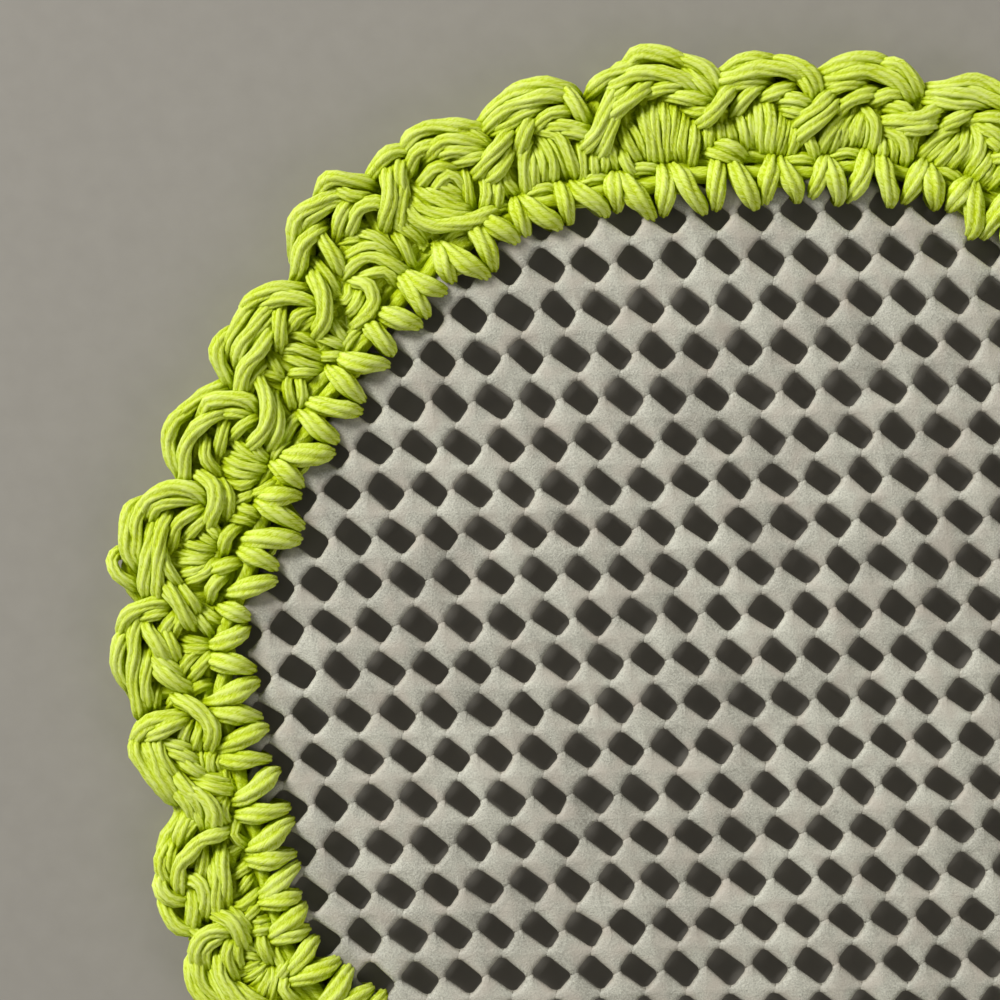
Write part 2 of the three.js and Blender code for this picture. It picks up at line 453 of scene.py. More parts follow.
DOMED = {"rim": (
    (5.7, 1.04, (-5.2, 18), (-3.4, 19.1), (-0.8, 19.7), (1.6, 19.2)),
    (5.9, 1.02, (1.8, 19), (4.2, 18.5), (6.4, 17.1), (7.8, 15.2)),
    (6.2, 1.04, (-5.6, 16.9), (-3, 17.6), (0, 18), (2.6, 17.8), (5, 17)),
    (6, 0.92, (-5.2, 16.1), (-2.6, 16.3), (0, 16.7)),
    (6.3, 0.94, (5, 17), (6.4, 15.8), (7, 14.2)),
    (6, 0.96, (-3.2, 13.4), (-2, 14.8), (-0.4, 15.8)),
    (6.1, 0.9, (0.2, 14.3), (1.8, 15), (3.8, 15.6)),
    (6.3, 0.92, (3.2, 14.1), (5, 14.2), (6.6, 13.4)),
    (6.1, 0.88, (3.4, 12.8), (4.8, 12.6), (6.2, 12.4)),
    (6.6, 1.06, (5.8, 11.2), (7.6, 12.6), (9, 14.6)),
    (6.4, 1, (6, 9.4), (8, 11), (9.8, 13)),
), "fan": (
    (5.3, 0.9, (-3.4, 12.3), (-3.1, 10.9), (-2.4, 9)),
    (5.3, 0.9, (-2.1, 12.7), (-1.7, 11), (-1, 9)),
    (5.5, 0.94, (-0.9, 13.5), (-0.4, 11.4), (0.1, 8.4)),
    (5.5, 0.94, (0.5, 13.7), (1.2, 11.5), (1.2, 8.2)),
    (5.3, 0.9, (2.4, 12.3), (2.4, 10.4), (2.2, 8.2)),
    (5.2, 0.9, (3.6, 11.9), (3.6, 10), (3.2, 7.8)),
    (5.2, 0.92, (4.9, 11.5), (5.1, 9.7), (4.7, 7.6)),
    (5.4, 0.96, (-7.4, 7.7), (-5.6, 7.1), (-3.8, 6.5)),
    (5.5, 0.96, (-6.2, 8.8), (-4.6, 8.2), (-3, 7.5)),
    (5, 0.9, (-7.5, 11.6), (-7.7, 9.9), (-7.4, 8.4)),
    (5, 0.9, (-6.1, 11.6), (-6.2, 10.2), (-5.9, 9)),
    (5, 0.88, (-4.8, 11.8), (-4.6, 10.4), (-4.1, 9.2)),
)}
FAN = {"rim": (
    (5.8, 1, (-6.6, 16.4), (-4.9, 17.8), (-2.8, 18.2), (-0.8, 18.2)),
    (5.7, 1.04, (-2.3, 18.2), (-0.6, 19.3), (1.2, 19.6), (3.2, 18.8), (4.6, 17.8)),
    (6, 1.04, (4, 18.3), (5.8, 17.9), (7.2, 16.4), (8.4, 14.6)),
    (6.2, 1, (-4.4, 16.6), (-1.6, 17.2), (1.4, 17), (3.6, 16.2), (5.6, 15)),
    (6.1, 0.92, (4.8, 16.9), (6.2, 15.6), (7.6, 14)),
    (6.4, 1.04, (-6.8, 12.2), (-4.4, 13.5), (-2.2, 14.9), (-0.2, 15.8)),
    (6, 0.92, (-5.4, 14.8), (-3.8, 15.4), (-2.2, 16.1)),
    (6, 0.92, (0.2, 14.9), (2, 15.4), (4, 15.8)),
    (6.2, 0.96, (2.4, 14.2), (4.8, 14.1), (7, 13.4)),
    (6, 0.9, (4.6, 12.9), (6.4, 12.5), (8.2, 12.4)),
    (6.6, 1.06, (6.2, 11), (8, 12.2), (9.8, 14.4)),
), "fan": (
    (5.3, 0.9, (-4.6, 11.4), (-4.1, 10), (-3.6, 8.4)),
    (5.3, 0.9, (-3.2, 12), (-2.8, 10.4), (-2.2, 8.6)),
    (5.4, 0.92, (-1.5, 12.8), (-1.5, 10.8), (-1.1, 8.6)),
    (5.4, 0.9, (-0.2, 13.2), (-0.2, 11), (0, 8)),
    (5.3, 0.9, (1.1, 13.3), (1.1, 11), (1.1, 8)),
    (5.3, 0.88, (2.4, 13), (2.4, 11), (2.2, 8.2)),
    (5.2, 0.88, (3.5, 11.9), (3.5, 10), (3.2, 7.6)),
    (5.2, 0.9, (4.8, 11.1), (4.7, 9.2), (4.3, 6.9)),
    (5.1, 0.9, (6.4, 11), (6.6, 9.8), (6.6, 8.2)),
    (5.2, 0.92, (-5.6, 9.2), (-4.9, 7.8), (-4.6, 6.4)),
    (5, 0.9, (-7.4, 10.4), (-6.8, 9), (-6.6, 7.4)),
)}
ARCHED = {"rim": (
    (5.7, 1.04, (-5.3, 17.2), (-3.6, 18.4), (-1.4, 19.4), (1, 19.6), (3.4, 19.3), (5, 18.6)),
    (6.3, 1.04, (4.8, 18.2), (5.4, 16.6), (6, 14.4)),
    (6.1, 1.04, (-5.5, 16.4), (-3, 17.4), (-0.4, 18), (2.2, 18.1), (4.2, 17.8)),
    (6, 0.94, (-5.2, 15.6), (-2.8, 16.1), (-0.6, 16.7), (1.4, 17.1)),
    (6.1, 0.92, (0.2, 14.6), (2.2, 15.4), (4.4, 16)),
    (6.1, 0.96, (-3, 12.4), (-1.8, 14), (-0.4, 15.6)),
    (6.2, 0.92, (1.2, 14.1), (3.2, 13.9), (5.2, 13.2)),
    (6, 0.88, (2.6, 12.8), (3.8, 12.6), (5, 12)),
    (6.6, 1.06, (4.6, 10.6), (6.6, 12.4), (8.6, 14.8), (10, 16.8)),
    (6.4, 1, (6.4, 10.2), (8.2, 12.2), (9.6, 14.2)),
), "fan": (
    (5.5, 0.94, (-4.6, 7.6), (-4, 9.6), (-2.9, 11.3), (-1.4, 12.8)),
    (5.4, 0.92, (-3.4, 7.4), (-2.8, 9.4), (-1.8, 11.4)),
    (5.4, 0.9, (-2.1, 7.6), (-1.5, 9.6), (-0.8, 11.9)),
    (5.5, 0.9, (-0.8, 8), (-0.3, 10.2), (-0.3, 12.9)),
    (5.4, 0.9, (0.4, 13.1), (0.9, 11), (0.7, 8.6)),
    (5.7, 0.94, (0.3, 14), (1.8, 12.8), (2.2, 10.8), (1.9, 8.2)),
    (5.3, 0.9, (3.4, 11.2), (3.2, 9.4), (2.9, 7.4)),
    (5.1, 0.9, (4.8, 10.2), (4.5, 8.6), (4.2, 7)),
    (5.1, 0.88, (6.2, 10.4), (6, 9), (5.8, 7.4)),
    (5.2, 0.9, (-6.4, 11), (-6.6, 9.4), (-6.2, 7.8)),
    (5.2, 0.88, (-7.8, 11), (-7.9, 9.6), (-7.6, 8.2)),
)}
RIBBED = {"rim": (
    (5.8, 1, (-5.3, 16.9), (-3.9, 18.3), (-1.5, 19.3), (0.8, 19.6), (2.4, 19)),
    (5.6, 0.96, (1.2, 19.3), (3.2, 18.9), (5.2, 18.3), (7.2, 17)),
    (6.2, 1.04, (-5.6, 15.9), (-3, 17.1), (0, 17.4), (2.2, 16.6), (4, 15.4)),
    (6.3, 1, (2.6, 17.2), (4.4, 17.1), (5.8, 15.6), (6.5, 13.6), (6.3, 12.2)),
    (5.9, 0.9, (3.7, 15.4), (4.7, 14.2), (5.3, 12.6)),
    (5.8, 0.92, (-3.9, 12.7), (-2.5, 14.5), (-0.5, 15.6)),
    (5.9, 0.9, (-1, 13.1), (0.8, 13.9), (2.7, 14.5)),
    (6.5, 1.02, (2.4, 9.9), (4.6, 9.6), (7.6, 10.6), (9.5, 12.8)),
    (6.3, 0.92, (3.2, 8.2), (5.8, 8.4), (8.4, 10.2)),
), "fan": (
    (5.7, 0.9, (1.9, 12.7), (3.6, 12.4), (5.5, 11.3)),
    (5.1, 0.84, (-4.5, 11.4), (-4.1, 9.6), (-3, 8.1)),
    (5.2, 0.84, (-3.1, 12), (-2.8, 10), (-2, 8.1)),
    (5.2, 0.84, (-1.7, 12), (-1.6, 10), (-0.9, 8)),
    (5.1, 0.8, (-0.4, 12.1), (-0.4, 10.2), (0, 8.2)),
    (5, 0.8, (1.1, 12.4), (0.6, 10.4), (0.6, 8.4)),
    (5.2, 0.8, (2.4, 11), (1.8, 9.6), (1.2, 8.3)),
    (5.2, 0.86, (-6.9, 10.2), (-5.8, 8.9), (-4.6, 7.8)),
    (5.3, 0.9, (-4.6, 7), (-3.6, 6.2), (-2.8, 5.4)),
    (5.3, 0.9, (1.6, 6.9), (2.8, 7.2), (4, 6.6)),
)}
LOOPED = {"rim": (
    (5.7, 0.96, (-4, 17.1), (-3.4, 18.8), (-2.3, 19.8), (-0.9, 20.1)),
    (5.9, 1, (-1.9, 17.6), (-0.5, 19), (1.7, 19.7), (4.2, 19.7)),
    (6.1, 0.94, (-0.8, 17.4), (1.4, 18.5), (3.4, 18.7), (4.9, 18.4)),
    (6.4, 1, (4.3, 18.1), (6.2, 18), (7.5, 16.4), (7.7, 14.2), (7, 12.4)),
    (6.2, 0.88, (3.8, 17), (5.5, 16.9), (6.4, 15.4), (6.6, 13.4)),
    (6.2, 0.98, (-5.1, 15.4), (-2.8, 15.7), (0, 16.5), (2.6, 16.8)),
    (6.4, 0.98, (-5.2, 13.9), (-2.9, 14.2), (-0.6, 15), (1.6, 15.7), (3.8, 15.4)),
    (5.9, 0.9, (-3.7, 12.1), (-1.9, 13.3), (0.1, 14.7)),
    (6, 0.92, (1.5, 14), (3.7, 13.8), (5.9, 12.5)),
    (6.6, 1.04, (4.9, 10.8), (6.9, 10.6), (8.6, 11.8), (9.5, 13.7)),
), "fan": (
    (5.7, 0.88, (2.3, 12.5), (4.1, 12), (5.6, 11.1)),
    (6.1, 0.94, (6.2, 9.2), (8, 10), (9.2, 11.4)),
    (5.3, 0.88, (-3.5, 10.9), (-2.1, 9.7), (-0.6, 9)),
    (5.2, 0.84, (-2.5, 12), (-1.7, 10.7), (-0.6, 9.7)),
    (5.1, 0.78, (-0.9, 12.4), (-0.5, 11.2), (-0.1, 9.8)),
    (5, 0.78, (0.3, 13.3), (0.4, 11.5), (0.6, 9.7)),
    (5, 0.78, (1.5, 12.9), (1.4, 11.2), (1.3, 9.6)),
    (5.1, 0.8, (2.8, 11.6), (2.4, 10.4), (1.9, 9.3)),
    (5.2, 0.84, (4.4, 10.9), (3.6, 9.9), (2.8, 9)),
    (5.7, 0.96, (-4.9, 8.1), (-3.5, 8.4), (-2.2, 7.7)),
    (5.6, 0.92, (-1.6, 8.5), (-0.9, 7.6), (-0.7, 6.4)),
    (5.7, 0.96, (1.5, 8.2), (3, 8.3), (4.4, 7.7)),
    (5.6, 0.92, (5.5, 8.7), (5.7, 7.5), (5.3, 6.3)),
    (5.5, 0.9, (7, 8.4), (6.8, 7.2), (6.4, 6.3)),
)}
FLAT_TOPPED = {"rim": (
    (5.7, 1, (-5.3, 16.5), (-4.2, 18.5), (-2.7, 19.7), (-1.1, 19.5)),
    (5.9, 1, (-2.7, 17.7), (-1.2, 18.8), (1, 19.2), (3.3, 19.1)),
    (6, 1.02, (2.7, 19.3), (5, 18.8), (6.6, 17.3), (7.3, 15.2)),
    (6.3, 1, (4.1, 17.6), (5.6, 16.4), (6.6, 14.6), (6.8, 12.9)),
    (6.1, 0.96, (-3.1, 16.4), (-0.8, 17.3), (1.8, 17.5), (4.3, 17.1)),
    (6.5, 1.06, (-6.6, 14.7), (-4, 15.2), (-1.2, 15.1), (1.2, 15.2)),
    (6, 0.9, (-1.8, 16.1), (0.8, 16.3), (3.6, 16)),
    (6.2, 0.9, (0.8, 13.8), (2.3, 14.5), (4.1, 15.7)),
    (5.9, 0.9, (3.1, 13.7), (4.8, 13.6), (6.5, 12.5)),
    (6.6, 1.06, (4.6, 10.5), (6.6, 11.1), (8.4, 12.7), (9.3, 14.6)),
), "fan": (
    (5.6, 0.9, (-6.5, 13.7), (-4.4, 14), (-2.4, 13.8)),
    (5.6, 0.84, (3.6, 12.4), (5.3, 12.1), (6.8, 11.2)),
    (5.3, 0.84, (-3.5, 13.4), (-3.1, 12.1), (-2.8, 10.9)),
    (5.4, 0.84, (-1.3, 13.3), (-1.8, 12.2), (-2.3, 11.1)),
    (5.2, 0.82, (-0.5, 12.1), (0.1, 10.3), (0.8, 8.5)),
    (5.1, 0.82, (0.5, 13.1), (1.1, 11.2), (1.8, 9)),
    (5, 0.78, (2.2, 13.2), (2.7, 11.8), (3, 10.4)),
    (5.1, 0.82, (-1.8, 10.3), (-0.8, 9.2), (0.1, 8.1)),
    (5.4, 0.92, (-5, 8.3), (-3.8, 9.1), (-2.5, 9.9)),
    (5.2, 0.88, (-4.6, 7.2), (-3.3, 7.9), (-2.1, 8.9)),
    (5.3, 0.86, (3.7, 10), (4.5, 8.8), (4.9, 7.5)),
    (5.2, 0.84, (5.9, 9.9), (5.6, 8.6), (5.6, 7.3)),
    (5, 0.8, (2, 8.4), (2.8, 7.4), (3.6, 6.6)),
)}
SPLIT = {"rim": (
    (6, 1.06, (-7.3, 16.1), (-5.5, 17.2), (-3.6, 17.4), (-2.2, 17)),
    (5.8, 1.04, (-5.4, 18.2), (-4, 19.5), (-2, 19.7), (0.4, 19), (2.6, 17.8)),
    (6.1, 1.04, (0.5, 19.9), (2.2, 20), (3.8, 18.8), (5.1, 16.9)),
    (6.3, 0.94, (1.9, 18.6), (3, 17.3), (4.3, 16)),
    (5.9, 0.92, (-0.9, 15.7), (0.8, 16.5), (2.8, 16.7)),
    (6.2, 1, (0.5, 14.7), (2.5, 15.4), (4.4, 14.9), (5.7, 13.6)),
    (6.1, 1, (-2.6, 16.8), (-3, 15), (-3.2, 12.9)),
    (6.6, 1.06, (5, 12.6), (6.4, 14.2), (7.4, 16.2)),
    (6.3, 0.96, (6, 11.2), (7.4, 12.8), (8.4, 14.6)),
), "fan": (
    (5.7, 0.94, (-3, 11.5), (-1, 11.7), (1, 10.4), (2.4, 8.5), (3, 6.9)),
    (5.4, 0.84, (-2.1, 12.8), (0.2, 12.3), (2, 10.9), (3.1, 9)),
    (5.5, 0.84, (1.5, 13.5), (2.8, 11.8), (3.5, 9.6)),
    (5.5, 0.92, (-2.4, 10.5), (-0.3, 9.7), (1.1, 8.2), (1.6, 6.8)),
    (5.8, 1, (-6.2, 7.1), (-4.2, 6.9), (-2.4, 7.4), (-1.8, 8.9), (-2.7, 10)),
    (5.5, 0.88, (-5.9, 8.6), (-4.3, 8.3), (-3.1, 9.1)),
    (5.6, 1, (-4.8, 17.6), (-2.4, 18.5), (0.4, 17.9), (2.4, 16.8)),
    (5.2, 0.84, (4.9, 10.4), (4.8, 8.9), (4.5, 7.4)),
    (5.3, 0.84, (5.9, 12.9), (6, 11.1), (6.3, 9.2)),
    (5, 0.8, (-1.4, 14.6), (0, 13.8), (1.1, 12.6)),
    (5.3, 0.86, (-5.9, 10.4), (-4.9, 9.6), (-3.9, 10.1)),
    (5.2, 0.86, (-5.2, 14.9), (-5, 13.2), (-5.2, 11.4)),
)}
BRAIDED = {"rim": (
    (5.7, 1, (-3.5, 18.1), (-2.1, 19.4), (0.1, 19.8), (2, 19.6)),
    (6, 1.04, (-6.4, 16.5), (-3.8, 17.2), (-1, 17.6), (1.9, 18.1), (4.3, 18.3)),
    (5.9, 1, (2.5, 19.7), (4.3, 19.8), (5.9, 18.5), (6.7, 16.5), (6.9, 14.7)),
    (6.2, 0.88, (4.5, 18), (5.3, 16.6), (5.9, 14.9)),
    (6.3, 0.96, (-5.3, 15.3), (-2.8, 15.8), (-0.2, 15.9)),
    (6.4, 1, (-2.9, 10.3), (-2.2, 12.4), (-1.2, 14.7)),
    (6.1, 0.92, (-1.3, 11), (-0.7, 12.8), (0.2, 14.9)),
    (6.3, 1, (0.3, 12.7), (2, 14.6), (3.9, 16.6)),
    (6, 0.9, (0.6, 11.2), (2, 12.3), (3.5, 13.9)),
    (6.6, 1.04, (5.2, 10.3), (6.4, 11.8), (7.7, 13.5), (8.8, 15)),
), "fan": (
    (5.9, 0.9, (3, 13.6), (4.4, 13.5), (5.8, 12.7)),
    (5.6, 0.86, (3.6, 12.2), (4.8, 12), (5.9, 11.4)),
    (6.2, 0.96, (6.7, 9.8), (8, 11.1), (9, 12.9)),
    (5.5, 0.92, (-1.9, 9.1), (-0.6, 8.2), (0.8, 6.8)),
    (5.3, 0.86, (-1, 10.4), (0.1, 9.6), (1.1, 8.4)),
    (5.1, 0.8, (1.6, 10.6), (1.7, 9), (1.7, 7.3)),
    (5, 0.8, (2.9, 11), (2.8, 9.4), (2.6, 7.6)),
    (5.3, 0.86, (4, 7.4), (4.9, 8.4), (5.6, 9.6)),
    (5.4, 0.88, (-6, 14.8), (-4.7, 14.5), (-3.5, 14.1)),
    (5.2, 0.88, (-5.6, 12.6), (-4.6, 11.4), (-4, 9.6)),
    (5.1, 0.84, (-3.8, 9.4), (-3.2, 8.2), (-2.6, 7)),
    (5.2, 0.88, (6.6, 8.8), (6.2, 7.6), (5.8, 6.4)),
)}
STEEP = {"rim": (
    (5.8, 1.04, (-4.9, 16.5), (-2.6, 17.9), (0, 18.8), (2.4, 19.3), (4.2, 18.8)),
    (6.1, 1.06, (3.9, 19), (5.5, 17.5), (6.7, 15.2), (7.5, 12.8), (7.3, 10.9)),
    (6.1, 1, (-4.3, 15.1), (-1.6, 16.5), (1.4, 17), (3.6, 17.1)),
    (6.3, 0.92, (-2.3, 14.6), (0, 15.6), (2.4, 15.9), (3.9, 15.7)),
    (6.3, 0.98, (4.3, 16.9), (5.2, 15), (6.2, 13), (6.8, 11.2)),
    (6.4, 1, (-7.9, 12), (-5.4, 12.5), (-3.1, 13.5), (-1.7, 15)),
    (6, 0.96, (-8.2, 14.3), (-5.8, 14.5), (-3.7, 15.1)),
    (6.1, 1, (-1.9, 9.7), (-0.8, 11.5), (0.5, 13.2)),
    (6.2, 0.96, (0.5, 10.9), (1.4, 12.8), (2.1, 14.7)),
    (6, 0.92, (2.4, 11.6), (3, 13.2), (3.5, 15)),
    (6.6, 1.08, (3, 7.3), (5.1, 6.5), (7.5, 7), (9, 8.9), (9.6, 11.1)),
), "fan": (
    (5.8, 1, (3.2, 12.1), (4.8, 11.4), (6.5, 10.2)),
    (5.7, 0.98, (2.8, 10.3), (4.6, 9.2), (6.7, 8.3)),
    (5.9, 1, (-5.1, 6.9), (-4.5, 9.1), (-3.8, 11.2)),
    (5.7, 0.96, (-3.4, 6.9), (-3, 9), (-2.4, 11.4)),
    (5.4, 0.94, (-2, 8.1), (0, 8.2), (1.8, 7.4)),
    (5.3, 0.88, (-1.7, 9.3), (0.2, 9.5), (2, 9.5)),
    (5.2, 0.9, (-6.9, 10.9), (-6.2, 9.4), (-5.8, 7.6)),
    (5, 0.84, (-0.6, 14.4), (-0.6, 13.2), (-0.4, 12)),
    (5.1, 0.9, (-1.6, 6.9), (-0.2, 6.9), (1.2, 6.3)),
)}
KNOTTED = {"rim": (
    (5.7, 0.98, (-5.5, 16.5), (-4.2, 18.4), (-2.6, 19.4), (-1.3, 19.8)),
    (6.2, 0.98, (-1.7, 16.9), (-1.2, 18.7), (-0.1, 19.8), (1.1, 19.6)),
    (5.9, 0.96, (0.7, 18.5), (2.2, 19.1), (3.5, 18.1)),
    (5.6, 0.92, (0.9, 17.3), (2.2, 17.5), (3.3, 16.9)),
    (6.4, 1.04, (-0.3, 17), (1.7, 16.6), (2.8, 14.8), (3.6, 12.8), (4, 10.8), (3.8, 9.1)),
    (5.9, 0.96, (-4.7, 16.4), (-2.9, 16), (-0.9, 15.8)),
    (6.2, 0.98, (-3.9, 14.5), (-2.1, 13.9), (-0.5, 14.5), (0.2, 15.6)),
    (6, 0.98, (-5.9, 12.9), (-3.7, 12.5), (-1.4, 11.9), (0.9, 12)),
    (5.9, 0.94, (-3.9, 11.1), (-1.7, 10.7), (0.5, 10.6), (2, 10.5)),
    (5.8, 0.96, (3.8, 15.6), (5.4, 15), (6.4, 13.8)),
    (6.4, 1.02, (4.9, 10), (6.6, 9.8), (8.4, 10.8), (9.4, 12.8)),
), "fan": (
    (5.8, 0.94, (-7.2, 15.2), (-5.9, 16), (-4.8, 17.2)),
    (5.5, 1, (-0.6, 14.2), (1.2, 13.6), (3, 12.8)),
    (5.4, 1, (4, 14.8), (5.2, 13.8), (6, 12.6)),
    (5.5, 0.92, (4.9, 11.7), (6.6, 12), (8.1, 12.9)),
    (5.5, 0.9, (-6.3, 9.7), (-5.7, 8.2), (-5.5, 6.7)),
    (5.4, 0.88, (-4.8, 10), (-4.6, 8.6), (-4.5, 7)),
    (5.1, 0.8, (-3.5, 9), (-2.9, 8.1), (-2.3, 7.2)),
    (4.9, 0.8, (-1.2, 9.6), (-0.9, 8.4), (-0.8, 7.2)),
    (4.9, 0.8, (1.3, 9.6), (1.5, 8.5), (2, 7.4)),
    (5.4, 0.94, (1.8, 7.3), (3.2, 7.9), (4.6, 7.2)),
    (5.4, 0.92, (5, 8.3), (6.4, 8.6), (7.6, 7.8)),
)}
ROSETTE = {"rim": (
    (5.7, 1, (-7, 18.4), (-5.2, 19.2), (-3.2, 19.3), (-1.4, 18.4)),
    (5.9, 1.04, (-1.5, 19.1), (0.4, 19.6), (2.8, 18.8), (5.2, 17.8), (6.8, 16.6)),
    (6, 0.96, (-2.6, 16.3), (-0.6, 17.3), (2.4, 17.3)),
    (6.2, 1, (0.2, 16.2), (2.6, 17), (5, 16), (6.4, 14.2)),
    (6.1, 0.94, (5.2, 17.2), (6.2, 15.6), (6.7, 14.2)),
    (6, 0.98, (-5.4, 14.4), (-4.7, 16.4), (-4, 17.8)),
    (6.2, 0.96, (1, 15.6), (3.2, 15.2), (5.6, 13.8)),
    (6, 0.92, (2.4, 14), (4.2, 13.5), (6, 13)),
    (6.5, 1.04, (4.4, 11.6), (6.4, 12.3), (8.4, 13.6), (9.8, 14.6)),
    (6.3, 0.98, (5, 10.5), (7, 10.9), (8.8, 12.2)),
), "fan": (
    (5.9, 1.06, (-5.7, 13.2), (-5.5, 10.6), (-4, 8.6), (-1.4, 7.3), (1.2, 6.4), (3.4, 6.6)),
    (5.6, 1, (-4.8, 13.3), (-3.6, 10.6), (-1.6, 8.8), (0.6, 7.7)),
    (5.5, 0.94, (-4, 14), (-2.4, 11.4), (-0.6, 9.4), (0.5, 8.4)),
    (5.5, 0.92, (-2.4, 12.8), (-1.2, 11.2), (0.2, 9.4)),
    (5.9, 0.98, (-2.6, 13.9), (-0.4, 14.6), (2, 13.6)),
    (5.7, 0.92, (-1.6, 12.2), (0.2, 13), (1.6, 12.4), (2, 10.6)),
    (5.4, 0.96, (-1.2, 13), (0.2, 11.8), (0.9, 10)),
    (5.6, 0.92, (2.8, 12.6), (2.6, 10.6), (1.6, 8.6)),
    (5.5, 0.94, (4.6, 11), (4, 9.2), (2.8, 7.4)),
    (5.3, 0.92, (6, 10), (5.2, 8.4), (4.2, 6.8)),
    (5.2, 0.92, (-7.8, 12.8), (-7.6, 10.8), (-7.1, 8.8)),
    (5.2, 0.9, (-6.6, 12.6), (-6.6, 10.8), (-6.2, 9)),
)}
LAYOUTS = (
    CRESTED, DOMED, FAN, ARCHED, RIBBED, LOOPED, FLAT_TOPPED, SPLIT, BRAIDED, STEEP, KNOTTED, ROSETTE,
)
SEEN_LAYOUTS = (
    ARCHED, CRESTED, DOMED, FAN, ARCHED, ROSETTE, SPLIT, FLAT_TOPPED, RIBBED, LOOPED, BRAIDED,
    STEEP, KNOTTED, LOOPED, RIBBED,
)
# How far the crest of a scallop may lean from the way its table has it. What lies
# LEAN_FOOT outwards stays, and what lies LEAN_LENGTH further leans all the way.
SEEN_LEAN = 0.15
HIDDEN_LEAN = 0.7
LEAN_FOOT = 12
LEAN_LENGTH = 8

# The first strands of a rim are its chain, and the rest join it to the fan
CHAIN_STRANDS = 5
RIM_GIRTH = 0.83
FAN_GIRTH = 0.76
# How a strand dives between its neighbours: how far its end goes on, how deep the
# end and the place before it lie, and the end's share of the girth. No end lies
# further out than DIVE_REACH.
DIVE_LENGTH = 1.4
DIVE_DEPTHS = (3.6, 0.9)
DIVE_GIRTH = 0.85
DIVE_REACH = 18.2


def shown_strand(skein, row, strand, shift, share):
    """A strand that rises from between its neighbours and dives again"""
    level, girth, *places = strand
    level += jitter(0.2)
    girth *= share + jitter(0.05)
    path = []
    for along, reach in places:
        leant = along + shift * (reach - LEAN_FOOT) / LEAN_LENGTH
        path.append(Vector((leant + jitter(0.2), reach + jitter(0.2))))
    before = path[0] + (path[0] - path[1]).normalized() * DIVE_LENGTH
    after = path[-1] + (path[-1] - path[-2]).normalized() * DIVE_LENGTH
    for end in (before, after):
        end.y = min(end.y, DIVE_REACH)
    dive = [level - depth for depth in DIVE_DEPTHS]
    heights = [*dive, *[level] * (len(path) - 2), *dive[::-1]]
    skein.lay([scallop_spot(row, *place, height)
               for place, height in zip([before, *path, after], heights)],
              [girth * DIVE_GIRTH, *[girth] * len(path), girth * DIVE_GIRTH])


def scallop(chain_skein, join_skein, fan_skein, row, layout, lean):
    shift = jitter(lean)
    for number, strand in enumerate(layout["rim"]):
        skein = chain_skein if number < CHAIN_STRANDS else join_skein
        shown_strand(skein, row, strand, shift, RIM_GIRTH)
    for strand in layout["fan"]:
        shown_strand(fan_skein, row, strand, shift, FAN_GIRTH)


# The yarn inside a scallop's rim: a way from dip to dip, clockwise and outwards,
# and how far outwards from it and how high each strand lies
CORE_PATH = (
    (-8.2, 11.6), (-6.6, 14.4), (-3.6, 17.2), (0.0, 18.3), (3.8, 17.4), (6.6, 14.6), (8.0, 11.6),
)
CORE_STRANDS = ((0.4, 3.4), (0.0, 1.5), (-2.2, 2.7), (-4.2, 3.4))


def scallop_core(skein, row):
    for outwards, height in CORE_STRANDS:
        wider = 1 + outwards * 0.03
        skein.lay([scallop_spot(row, along * wider + jitter(0.2), reach + outwards + jitter(0.2),
                                height + jitter(0.15)) for along, reach in CORE_PATH],
                  [0.96] * len(CORE_PATH))


# A scallop's posts from foot to head: how far they spread, outwards place, height,
# and how uneven that is. BACK_POST shows on the side that lies on the table, and
# UNDER_POST fills the gaps between the strands of the fan.
BACK_POST = (
    (0.86, 5.8, 2.6), (0.92, 8.0, 1.5), (1.0, 11.0, 1.4), (1.05, 13.8, 1.6), (1.08, 15.6, 2.8),
)
UNDER_POST = (
    (0.8, 7.2, 2.8), (0.88, 8.8, 3.5, 0.2), (1.0, 11.0, 3.9, 0.2), (1.08, 13.6, 3.9), (1.1, 15.2, 3.4),
)


def lay_posts(skein, row, post, count, spacing, girth):
    for number in range(count):
        along = (number - (count - 1) / 2) * spacing + jitter(0.3)
        skein.lay([scallop_spot(row, along * spread, reach, height + sum(map(jitter, uneven)))
                   for spread, reach, height, *uneven in post], [girth] * len(post))


# Strands that run all the way round under the stitches: reach and height
INNER_ROUNDS = ((4.9, 4.0), (6.9, 3.1), (9.2, 3.3), (11.4, 3.3), (13.6, 3.3))
ROUND_STEPS = 2 * STITCHES


def inner_round(skein, reach, height):
    places = [spot(FULL_TURN * step / ROUND_STEPS, reach + jitter(0.3), height + jitter(0.2))
              for step in range(ROUND_STEPS)]
    skein.lay([*places, places[0]], [1.0] * (ROUND_STEPS + 1))


# Net

# From one bump to the next along a row and from row to row, and a hole's middle
NET_ROW = (5.84, 0.2)
NET_COLUMN = (1.49, -5.87)
NET_HOLE = (-31.68, 20.78)
NET_MID_HEIGHT = 3.5
# How far outwards from the tips bumps may lie, and the cells to try on each side
NET_KEEP = 2.9
NET_CELLS = 60
WELD = 0.00003
# In half cells: a hole's size, the rounding of its corners, and where a cut neck ends
HOLE_LENGTH = 1.02
HOLE_WIDTH = 0.83
ROUNDING = 0.2
NECK_END = 0.57
BUMP_HEIGHT = 1.06
# Heights of the necks along a row and from row to row, and a neck's profile from
# one hole to the other: share of its width, share of its height
ROW_NECK = 0.95
COLUMN_NECK = 0.86
NECK_PROFILE = ((0.0, 0.0), (0.2, 0.82), (0.5, 1.0), (0.8, 0.82), (1.0, 0.0))
# A bump's profile from its edge inwards: share of its outline, share of its height
TOP_RINGS = ((1.0, 0.0), (0.985, 0.5), (0.91, 0.77), (0.7, 0.93))
UNDER_RINGS = ((1.0, 0.0), (0.96, 0.5), (0.74, 0.92))
# The cells that a bump's necks lead to
DIAGONALS = ((-1, -1), (-1, 1), (1, -1), (1, 1))


